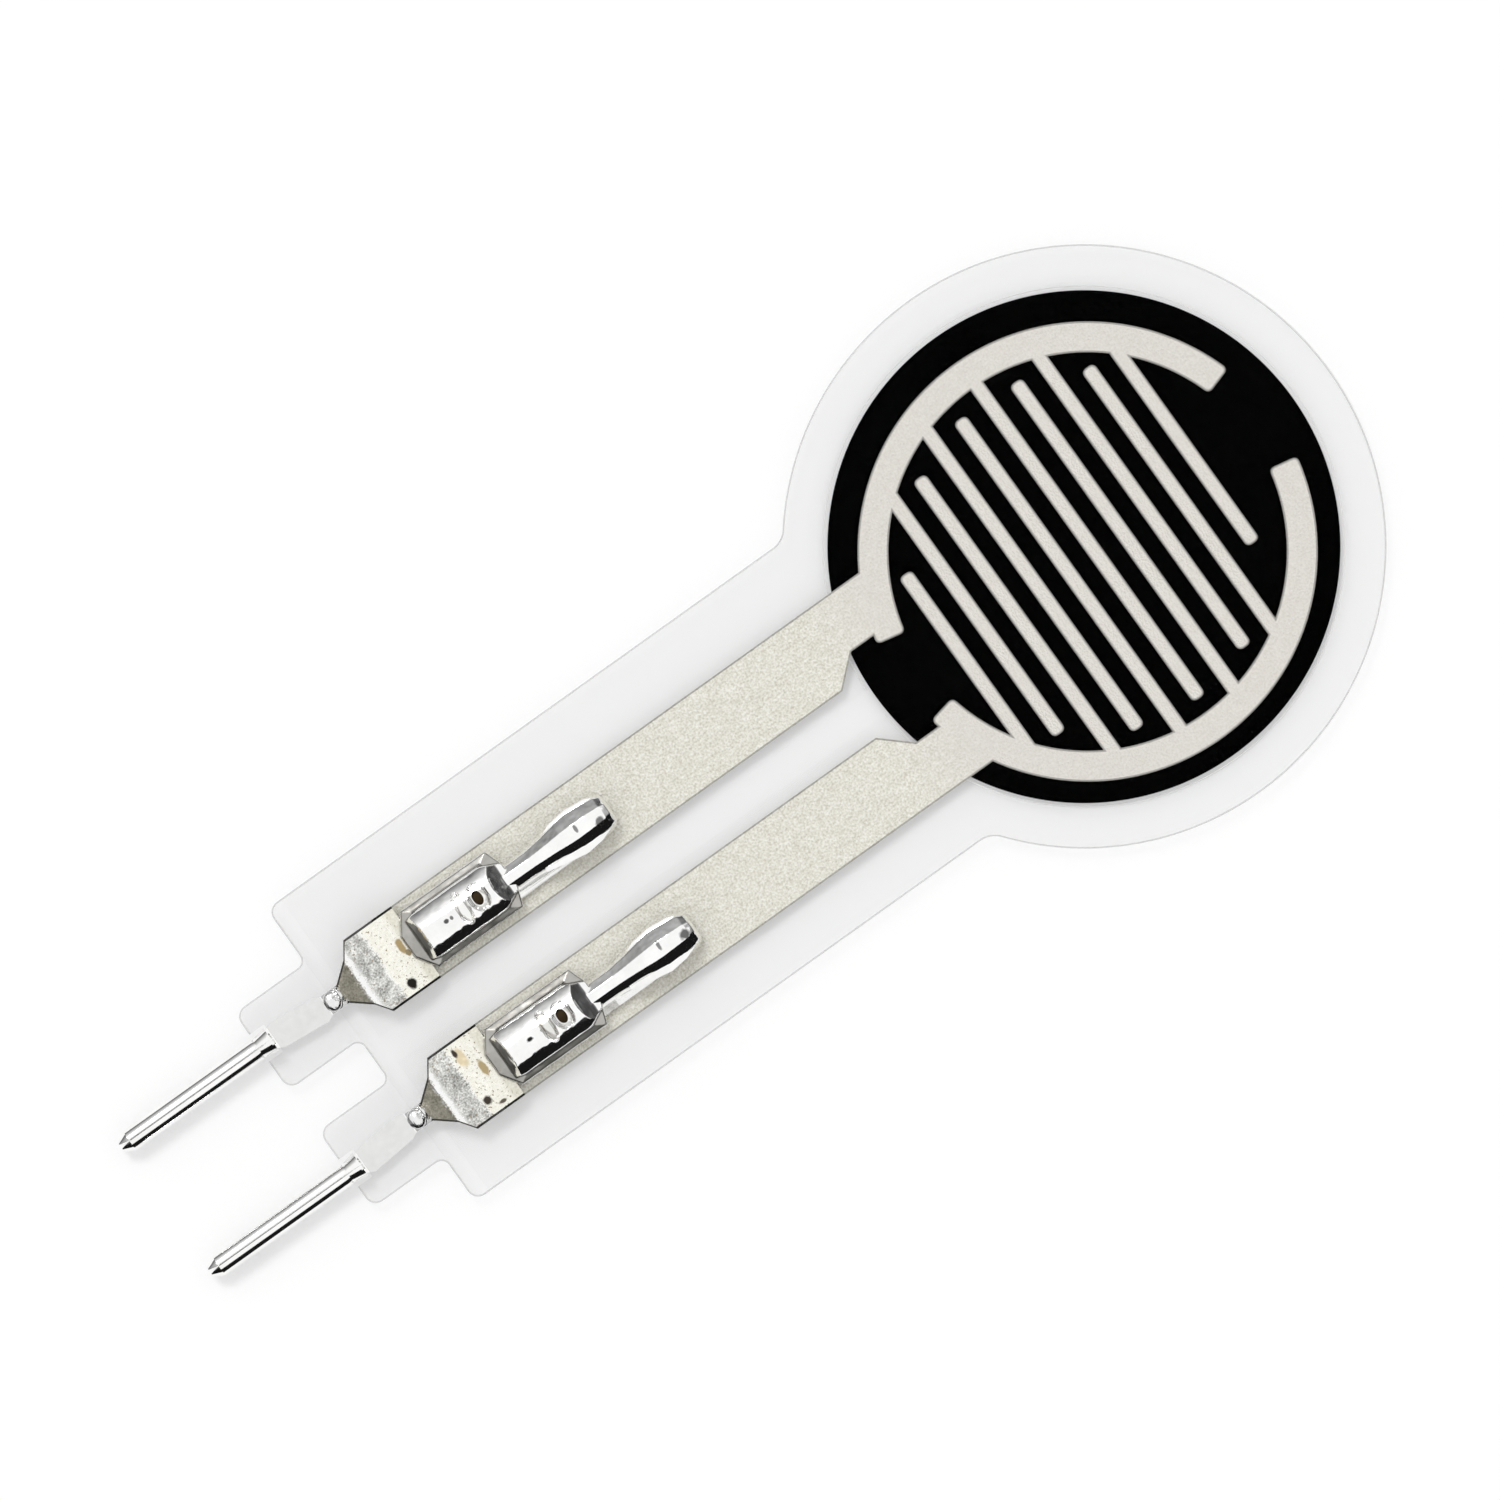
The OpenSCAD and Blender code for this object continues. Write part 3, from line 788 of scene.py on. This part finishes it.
def range_group():
    """1 between two places along a value, with soft ends."""
    tree, given, result = start_group(
        "range",
        {"Value": ("Float", 0.0), "Low": ("Float", 0.0), "High": ("Float", 1.0), "Soft": ("Float", 0.1)},
        {"Mask": "Float"},
    )
    ends = []
    for label, order in (("Low", ("Value", "Low")), ("High", ("High", "Value"))):
        gap = put(tree, "Math", {0: given.outputs[order[0]], 1: given.outputs[order[1]]}, operation="SUBTRACT")
        end = put(tree, "Math", {0: gap.outputs[0], 1: given.outputs["Soft"]}, operation="DIVIDE", use_clamp=True)
        ends.append(end.outputs[0])
    both = put(tree, "Math", {0: ends[0], 1: ends[1]}, operation="MULTIPLY")
    tree.links.new(both.outputs[0], result.inputs["Mask"])
    return tree


def between(tree, value, low, high, soft, unit=MM):
    """A mask for the stretch between two places, in millimetres."""
    values = {"Value": value, "Low": low * unit, "High": high * unit, "Soft": soft * unit}
    return use_group(tree, GROUPS["range"], values).outputs["Mask"]


def spot_noise(tree, place):
    """The one noise that makes all spots of a material ragged."""
    return put(tree, "TexNoise", {"Vector": place, "Scale": 9000.0, "Detail": 2.0}).outputs["Fac"]


def spot(tree, place, noise, middle, half, ragged=1.0, soft=0.5):
    """A spot mask on a piece; middle and half size are X and Y in millimetres."""
    values = {
        "Place": place,
        "Middle": (middle[0] * MM, middle[1] * MM, 0.4 * MM),
        "Half size": (half[0] * MM, half[1] * MM, 100.0),
        "Noise": noise,
        "Ragged": ragged,
        "Soft": soft,
    }
    return use_group(tree, GROUPS["spot"], values).outputs["Mask"]


def mix_colour(tree, share, first, second):
    return put(tree, "Mix", {0: share, 6: first, 7: second}, data_type="RGBA").outputs[2]


def mix_value(tree, share, first, second):
    return put(tree, "Mix", {0: share, 2: first, 3: second}).outputs[0]


def grain(tree, place, fine, coarse, share):
    values = {"Place": place, "Fine": fine, "Coarse": coarse, "Share": share}
    return use_group(tree, GROUPS["grain"], values).outputs["Value"]


def bump(tree, height, depth):
    return put(tree, "Bump", {"Height": height, "Distance": depth, "Strength": 1.0}).outputs["Normal"]


def film_material(name, facing, on_tabs, grazing, colour):
    """Clear film: nearly unseen face on, more opaque and so a little darker on the tabs, with gloss that comes up at a
    low angle.
    """
    material, tree, shader, place = start_material(name, Roughness=0.1, IOR=1.5, Specular_IOR_Level=0.35)
    cloud = put(tree, "TexNoise", {"Vector": place, "Scale": 500.0, "Detail": 1.0}).outputs["Fac"]
    tint = mix_colour(tree, cloud, colour, [0.6 * c for c in colour[:3]] + [1.0])
    tree.links.new(tint, shader.inputs["Base Color"])
    along = put(tree, "SeparateXYZ", {0: place}).outputs["X"]
    on_tab = put(tree, "MapRange", {"Value": along, "From Min": -0.0143, "From Max": -0.0146}).outputs["Result"]
    rim = put(tree, "LayerWeight", {"Blend": 0.5})
    rise = put(
        tree,
        "MapRange",
        {
            "Value": rim.outputs["Facing"],
            "From Min": 0.55,
            "From Max": 1.0,
            "To Min": mix_value(tree, on_tab, facing, on_tabs),
            "To Max": grazing,
        },
        interpolation_type="SMOOTHSTEP",
    )
    tree.links.new(rise.outputs["Result"], shader.inputs["Alpha"])
    return material


def edge_material(name, colour, alpha):
    """The cut edge of a clear layer, which gathers the light to a grey line; that line is painted light, coloured onto
    the edge.
    """
    material, tree, shader, place = start_material(name, Roughness=0.35)
    cloud = grain(tree, place, 8000.0, 900.0, 0.5)
    tree.links.new(mix_colour(tree, cloud, colour, [0.8 * c for c in colour[:3]] + [1.0]), shader.inputs["Base Color"])
    shader.inputs["Alpha"].default_value = alpha
    return material


def black_ink():
    """Resistive carbon ink: matt black."""
    material, tree, shader, place = start_material("black_ink", Specular_IOR_Level=0.0)
    cloud = grain(tree, place, 12000.0, 1200.0, 0.3)
    tint = mix_colour(tree, cloud, (0.0001, 0.0001, 0.0001, 1), (0.0006, 0.0006, 0.0006, 1))
    tree.links.new(tint, shader.inputs["Base Color"])
    tree.links.new(mix_value(tree, cloud, 0.6, 0.8), shader.inputs["Roughness"])
    tree.links.new(bump(tree, cloud, 0.000004), shader.inputs["Normal"])
    return material


def silver_ink(name, shade):
    """Printed silver: pale warm grey with a fine grain that is stronger on the tail."""
    material, tree, shader, place = start_material(name, Specular_IOR_Level=0.2)
    cloud = grain(tree, place, 26000.0, 5000.0, 0.15)
    light = [shade * c for c in (1.0, 0.99, 0.92)] + [1.0]
    dark = [shade * c for c in (0.64, 0.61, 0.51)] + [1.0]
    calm = [shade * c for c in (0.77, 0.74, 0.7)] + [1.0]
    along = put(tree, "SeparateXYZ", {0: place}).outputs["X"]
    on_tail = put(tree, "MapRange", {"Value": along, "From Min": -0.0034, "From Max": -0.0046}).outputs["Result"]
    weight = mix_value(tree, on_tail, 0.3, 1.0)
    tint = mix_colour(tree, cloud, dark, light)
    tree.links.new(mix_colour(tree, weight, calm, tint), shader.inputs["Base Color"])
    tree.links.new(mix_value(tree, cloud, 0.45, 0.65), shader.inputs["Roughness"])
    tree.links.new(bump(tree, cloud, 0.000012), shader.inputs["Normal"])
    return material


def product(tree, first, second):
    return put(tree, "Math", {0: first, 1: second}, operation="MULTIPLY").outputs[0]


def tinned_metal():
    """Bright tin. The ramp is dull and browned, the plate mottled and then creamy, and the tub's flange painted grey
    for the darker reflection its slope shows. The cut edges are painted near black as shade, and the dark rings, spots
    and pit marks on the plates and barrels are painted shade and shadow.
    """
    material, tree, shader, place = start_material("tinned_metal", Metallic=1.0)
    cloud = grain(tree, place, 9000.0, 2200.0, 0.6)
    patch = grain(tree, place, 30000.0, 6000.0, 0.4)
    axes = put(tree, "SeparateXYZ", {0: place})
    facing = put(tree, "SeparateXYZ", {0: put(tree, "TexCoord", {}).outputs["Normal"]})
    shift = put(tree, "Math", {0: patch, 1: 0.00012, 2: -0.00006}, operation="MULTIPLY_ADD").outputs[0]
    along = put(tree, "Math", {0: axes.outputs["X"], 1: shift}, operation="ADD").outputs[0]
    face_up = between(tree, facing.outputs["Z"], 0.76, 2.0, 0.02, 1)
    colour = mix_colour(tree, cloud, (0.9, 0.9, 0.89, 1), (1.0, 1.0, 0.99, 1))
    rough = mix_value(tree, cloud, 0.05, 0.1)
    areas = []
    for low, high, dark, light, dull in TIN_STRETCHES:
        mask = product(tree, between(tree, along, low, high, 0.05), face_up)
        areas.append((mask, mix_colour(tree, patch, dark, light), dull))
    # The tub's sloping flange: a painted grey that stands in for the darker reflection of its slope, with a duller
    # roughness.
    on_tub = between(tree, axes.outputs["X"], -13.0, -10.9, 0.02)
    flange = product(tree, on_tub, between(tree, axes.outputs["Z"], 0.475, 0.62, 0.01))
    areas.append((flange, mix_colour(tree, cloud, (0.36, 0.35, 0.32, 1), (0.52, 0.51, 0.48, 1)), 0.28))
    speck = put(tree, "TexNoise", {"Vector": place, "Scale": 24000.0, "Detail": 3.0}).outputs["Fac"]
    speck = put(tree, "MapRange", {"Value": speck, "From Min": 0.6, "From Max": 0.68}).outputs["Result"]
    speck = product(tree, product(tree, speck, face_up), between(tree, along, -13.88, -12.85, 0.1))
    areas.append((speck, (0.3, 0.26, 0.19, 1), 0.4))
    # The steep faces of the strip on the ramp and plate: untinned cut edges, painted near black as shade, which makes
    # the dark lines along the plate's edges.
    sheared_edge_and_shade = between(tree, facing.outputs["Z"], -2.0, 0.76, 0.02, 1)
    sheared_edge_and_shade = product(tree, sheared_edge_and_shade, between(tree, axes.outputs["X"], -14.4, -12.79, 0.01))
    sheared_edge_and_shade = product(tree, sheared_edge_and_shade, between(tree, axes.outputs["Z"], 0.3, 0.472, 0.002))
    areas.append((sheared_edge_and_shade, (0.05, 0.047, 0.04, 1), 0.35))
    noise = spot_noise(tree, place)
    for middle, half, tint, dull in TIN_MARKS:
        areas.append((spot(tree, place, noise, middle, half, 0.9, 0.35), tint, dull))
    for mask, tint, dull in areas:
        colour = mix_colour(tree, mask, colour, tint)
        rough = mix_value(tree, mask, rough, dull)
    tree.links.new(colour, shader.inputs["Base Color"])
    tree.links.new(rough, shader.inputs["Roughness"])
    rough_plate = product(tree, cloud, between(tree, axes.outputs["X"], -14.2, -12.9, 0.3))
    tree.links.new(bump(tree, rough_plate, 0.000008), shader.inputs["Normal"])
    return material


# From and to along X, darkest and lightest colour, roughness
TIN_STRETCHES = [
    (-14.33, -13.93, (0.2, 0.19, 0.145, 1), (0.6, 0.565, 0.475, 1), 0.4),
    (-13.93, -13.86, (0.85, 0.85, 0.84, 1), (1.0, 1.0, 1.0, 1), 0.2),
    (-13.87, -13.45, (0.12, 0.12, 0.11, 1), (0.95, 0.95, 0.92, 1), 0.35),
    (-13.48, -12.7, (0.84, 0.82, 0.72, 1), (0.98, 0.97, 0.9, 1), 0.25),
    (-13.0, -12.7, (0.62, 0.6, 0.5, 1), (0.88, 0.86, 0.76, 1), 0.35),
]

# Middle, half size, colour, roughness
TIN_MARKS = [
    # Dark rings round the pressed dent and the lipped hole, with plain tin inside them: painted shade on their sloping
    # rims.
    ((-11.82, 1.08), (0.115, 0.3), (0.22, 0.2, 0.17, 1), 0.2),
    ((-11.82, 1.08), (0.09, 0.275), (0.92, 0.92, 0.9, 1), 0.1),
    ((-11.5, 1.08), (0.16, 0.23), (0.22, 0.2, 0.17, 1), 0.2),
    ((-11.51, 1.08), (0.135, 0.205), (0.92, 0.92, 0.9, 1), 0.1),
    # The same painted shade rings on the right barrel.
    ((-11.82, -1.3), (0.12, 0.28), (0.2, 0.18, 0.15, 1), 0.25),
    ((-11.81, -1.3), (0.085, 0.24), (0.8, 0.8, 0.77, 1), 0.15),
    ((-11.5, -1.3), (0.16, 0.25), (0.22, 0.2, 0.17, 1), 0.2),
    ((-11.51, -1.3), (0.135, 0.22), (0.92, 0.92, 0.9, 1), 0.1),
    ((-13.04, 1.18), (0.07, 0.16), (0.42, 0.32, 0.17, 1), 0.4),
    ((-13.0, 1.02), (0.05, 0.07), (0.3, 0.24, 0.14, 1), 0.4),
    # Near-black spot on the plate beside the tub: painted shadow.
    ((-13.25, 0.57), (0.09, 0.11), (0.02, 0.018, 0.015, 1), 0.5),
    ((-13.3, -0.9), (0.1, 0.22), (0.7, 0.6, 0.42, 1), 0.4),
    ((-13.1, -1.25), (0.07, 0.18), (0.45, 0.36, 0.2, 1), 0.4),
    # Near-black spots on the plate beside the tub: painted shadow.
    ((-13.36, -0.78), (0.05, 0.09), (0.06, 0.05, 0.04, 1), 0.5),
    ((-13.35, -1.72), (0.09, 0.09), (0.06, 0.05, 0.04, 1), 0.5),
    ((-13.15, -1.88), (0.1, 0.04), (0.15, 0.13, 0.1, 1), 0.5),
    # Dark marks for small pits in the barrels, which are not modelled: painted shade.
    ((-12.18, -1.3), (0.07, 0.05), (0.02, 0.02, 0.02, 1), 0.5),
    ((-12.17, 1.08), (0.05, 0.05), (0.1, 0.1, 0.1, 1), 0.4),
    ((-12.07, 1.07), (0.03, 0.04), (0.2, 0.2, 0.19, 1), 0.4),
    ((-9.56, 1.09), (0.035, 0.08), (0.25, 0.25, 0.25, 1), 0.3),
    ((-9.15, 0.95), (0.1, 0.08), (0.2, 0.2, 0.2, 1), 0.3),
    ((-9.56, -1.27), (0.035, 0.1), (0.25, 0.25, 0.25, 1), 0.3),
    ((-9.1, -1.38), (0.12, 0.09), (0.15, 0.15, 0.15, 1), 0.3),
]


def solder_metal():
    """Solder: bright, with brown flux left in the barrel's hole."""
    material, tree, shader, place = start_material("solder", Metallic=1.0)
    cloud = grain(tree, place, 9000.0, 2500.0, 0.5)
    colour = mix_colour(tree, cloud, (0.75, 0.75, 0.75, 1), (0.92, 0.92, 0.91, 1))
    rough = mix_value(tree, cloud, 0.1, 0.22)
    noise = spot_noise(tree, place)
    for side in (-1, 1):
        mask = spot(tree, place, noise, (HOLE_X, lane(side)), (0.3, 0.3), 0.2)
        colour = mix_colour(tree, mask, colour, (0.05, 0.035, 0.02, 1))
        rough = mix_value(tree, mask, rough, 0.6)
    tree.links.new(colour, shader.inputs["Base Color"])
    tree.links.new(rough, shader.inputs["Roughness"])
    tree.links.new(bump(tree, cloud, 0.00001), shader.inputs["Normal"])
    return material


# Scene


def seen_rays(tree):
    """1 for what the camera sees directly, in a reflection or through glass, and 0 for light that falls on a piece."""
    rays = put(tree, "LightPath", {})
    first = put(tree, "Math", {0: rays.outputs["Is Camera Ray"], 1: rays.outputs["Is Glossy Ray"]}, operation="MAXIMUM")
    both = put(tree, "Math", {0: first.outputs[0], 1: rays.outputs["Is Transmission Ray"]}, operation="MAXIMUM")
    return both.outputs[0]


def make_world():
    world = bpy.data.worlds.new("studio")
    bpy.context.scene.world = world
    world.use_nodes = True
    tree = world.node_tree
    tree.nodes.clear()
    strength = mix_value(tree, seen_rays(tree), 0.84, 1.0)
    back = put(tree, "Background", {"Color": (1, 1, 1, 1), "Strength": strength})
    put(tree, "OutputWorld", {"Surface": back.outputs[0]})


def make_floor():
    bpy.ops.object.select_all(action="DESELECT")
    bpy.ops.mesh.primitive_plane_add(size=0.6, location=(0, 0, -0.00002))
    floor = bpy.context.object
    floor.name = "floor"
    material, tree, shader, place = start_material("floor", Roughness=0.9, Specular_IOR_Level=0.0)
    shader.inputs["Base Color"].default_value = (0.72, 0.72, 0.72, 1)
    shader.inputs["Emission Color"].default_value = (1, 1, 1, 1)
    lift = mix_value(tree, seen_rays(tree), 0.0, 0.255)
    tree.links.new(lift, shader.inputs["Emission Strength"])
    floor.data.materials.append(material)


def make_flag():
    """Card round the object that only reflections see: black on the near side, and on the far side grey that fades
    upwards to white."""
    bpy.ops.object.select_all(action="DESELECT")
    bpy.ops.mesh.primitive_cylinder_add(
        vertices=64, radius=0.06, depth=0.061, location=(-0.006, 0, 0.0255), end_fill_type="NOTHING"
    )
    card = place_in_mesh()
    card.name = "dark_card"
    material, tree, shader, place = start_material("dark_card", Specular_IOR_Level=0.0)
    shader.inputs["Base Color"].default_value = (0.01, 0.01, 0.01, 1)
    shader.inputs["Emission Color"].default_value = (1, 1, 1, 1)
    axes = put(tree, "SeparateXYZ", {0: place})
    far = put(tree, "MapRange", {"Value": axes.outputs["Y"], "From Min": -0.02, "From Max": 0.02}).outputs["Result"]
    rise = {"Value": axes.outputs["Z"], "From Min": 0.0, "From Max": 0.056, "To Min": 0.03, "To Max": 1.0}
    fade = put(tree, "MapRange", rise).outputs["Result"]
    tree.links.new(product(tree, far, fade), shader.inputs["Emission Strength"])
    card.data.materials.append(material)
    card.visible_camera = False
    card.visible_diffuse = False
    card.visible_transmission = False
    card.visible_volume_scatter = False
    card.visible_shadow = False


def make_key_light():
    bpy.ops.object.light_add(type="SUN", rotation=(math.radians(-32), 0, 0))
    sun = bpy.context.object
    sun.name = "key"
    sun.data.energy = 0.8
    sun.data.angle = math.radians(18)


def make_camera():
    """Straight over the object, turned as in the photograph."""
    bpy.ops.object.camera_add(location=(-0.00646, 0.00047, 0.1382), rotation=(0, 0, math.radians(-35.5)))
    camera = bpy.context.object
    camera.data.lens = 200
    camera.data.sensor_width = 36
    camera.data.clip_start = 0.001
    camera.data.clip_end = 10
    bpy.context.scene.camera = camera


def dress():
    """Makes every piece, gives it its material and lets it ride on the body."""
    edge = edge_material("film_edge", (0.4, 0.4, 0.39, 1), 0.26)
    front = film_material("front_film", 0.02, 0.052, 0.22, (0.02, 0.02, 0.019, 1))
    rear = film_material("rear_film", 0.01, 0.01, 0.2, (0.1, 0.1, 0.097, 1))
    glue = film_material("spacer_adhesive", 0.007, 0.007, 0.15, (0.3, 0.3, 0.29, 1))
    # The spacer's cut edge round the disc: a painted bright line.
    glue_edge = edge_material("adhesive_edge", (1.0, 1.0, 0.98, 1), 0.5)
    black = black_ink()
    silver = silver_ink("silver_ink", 1.0)
    # Half-bright silver for the print's rim band: painted shade.
    silver_shaded_rim = silver_ink("silver_ink_edge_painted_shade", 0.5)
    tin = tinned_metal()
    lead = solder_metal()
    finish_piece(make_front_film(), "front_film_sheet", ["front_film"], [front, edge])
    finish_piece(make_rear_film(), "rear_film_sheet", ["rear_film"], [rear])
    finish_piece(make_spacer(), "spacer_layer", ["spacer_adhesive"], [glue, glue_edge])
    finish_piece(make_black_disc(), "black_disc", ["resistive_disc"], [black, black])
    for side, word in ((1, "left"), (-1, "right")):
        comb = make_comb(side)
        finish_piece(comb, word + "_comb_print", [word + "_comb"], [silver, silver_shaded_rim])
        metal = make_terminal(side)
        finish_piece(metal, word + "_terminal_metal", [word + "_terminal"], [tin], 18.0)
        keep_plate_flat(metal)
        joint = make_solder(side)
        finish_piece(joint, word + "_solder_joint", [word + "_solder"], [lead], 35.0)


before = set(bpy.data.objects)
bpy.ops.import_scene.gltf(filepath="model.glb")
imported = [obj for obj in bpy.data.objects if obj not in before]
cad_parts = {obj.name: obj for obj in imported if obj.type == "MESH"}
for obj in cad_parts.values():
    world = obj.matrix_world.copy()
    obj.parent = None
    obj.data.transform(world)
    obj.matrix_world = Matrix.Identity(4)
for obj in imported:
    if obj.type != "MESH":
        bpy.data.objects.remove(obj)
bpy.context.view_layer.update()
GROUPS = {"grain": grain_group(), "spot": spot_group(), "range": range_group()}
bpy.context.scene.view_settings.view_transform = "Standard"
bpy.context.scene.cycles.transparent_max_bounces = 32
make_world()
make_floor()
make_flag()
make_key_light()
make_camera()
dress()
